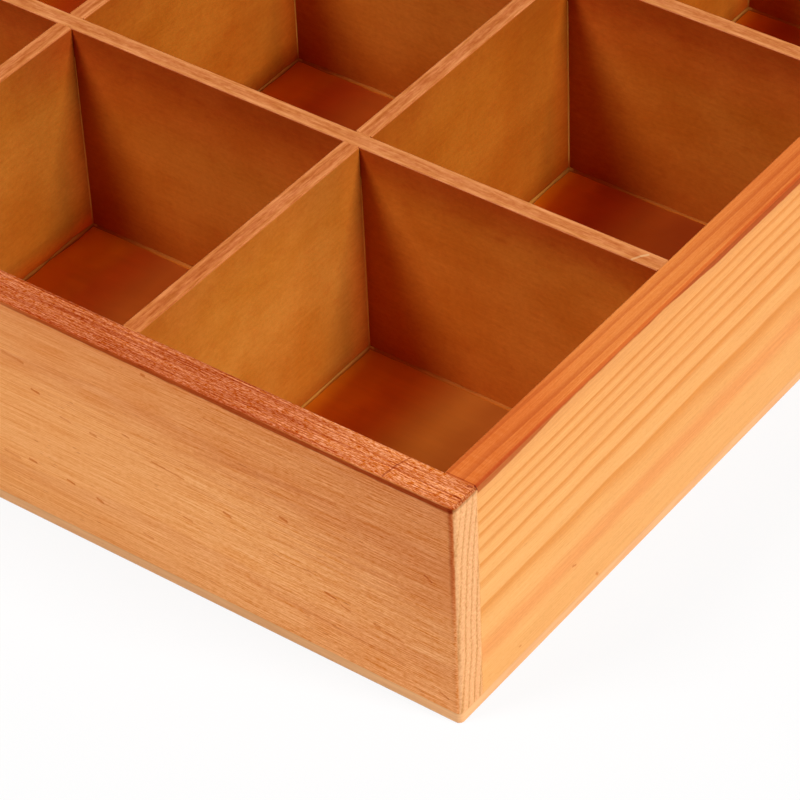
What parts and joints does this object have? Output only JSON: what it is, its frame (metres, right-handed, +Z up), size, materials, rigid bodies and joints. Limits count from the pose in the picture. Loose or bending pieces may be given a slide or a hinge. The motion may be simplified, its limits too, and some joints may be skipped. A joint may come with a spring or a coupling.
{
  "type": "drawer organizer tray",
  "caption": "Low rectangular wooden tray with butt-joined boards, a thin flush bottom panel and cross-lapped plywood dividers that make equal open compartments.",
  "frame": {"origin": "middle of the underside, on the surface that the tray rests on", "axes": "+X along the long side to the right, +Y from the front board to the back board, +Z up"},
  "size_m": [0.34, 0.254, 0.06],
  "materials": {
    "pine_board": "stained pine, satin",
    "divider_plywood": "stained three-ply, satin",
    "bottom_plywood": "stained thin plywood, matt",
    "brad_steel": "plain wire"
  },
  "bodies": {
    "root": {"front_board": "pine_board", "back_board": "pine_board", "left_board": "pine_board", "right_board": "pine_board", "bottom_panel": "bottom_plywood", "long_divider_1": "divider_plywood", "long_divider_2": "divider_plywood", "cross_divider_1": "divider_plywood", "cross_divider_2": "divider_plywood", "cross_divider_3": "divider_plywood", "bottom_brads": "brad_steel"}
  },
  "joints": []
}
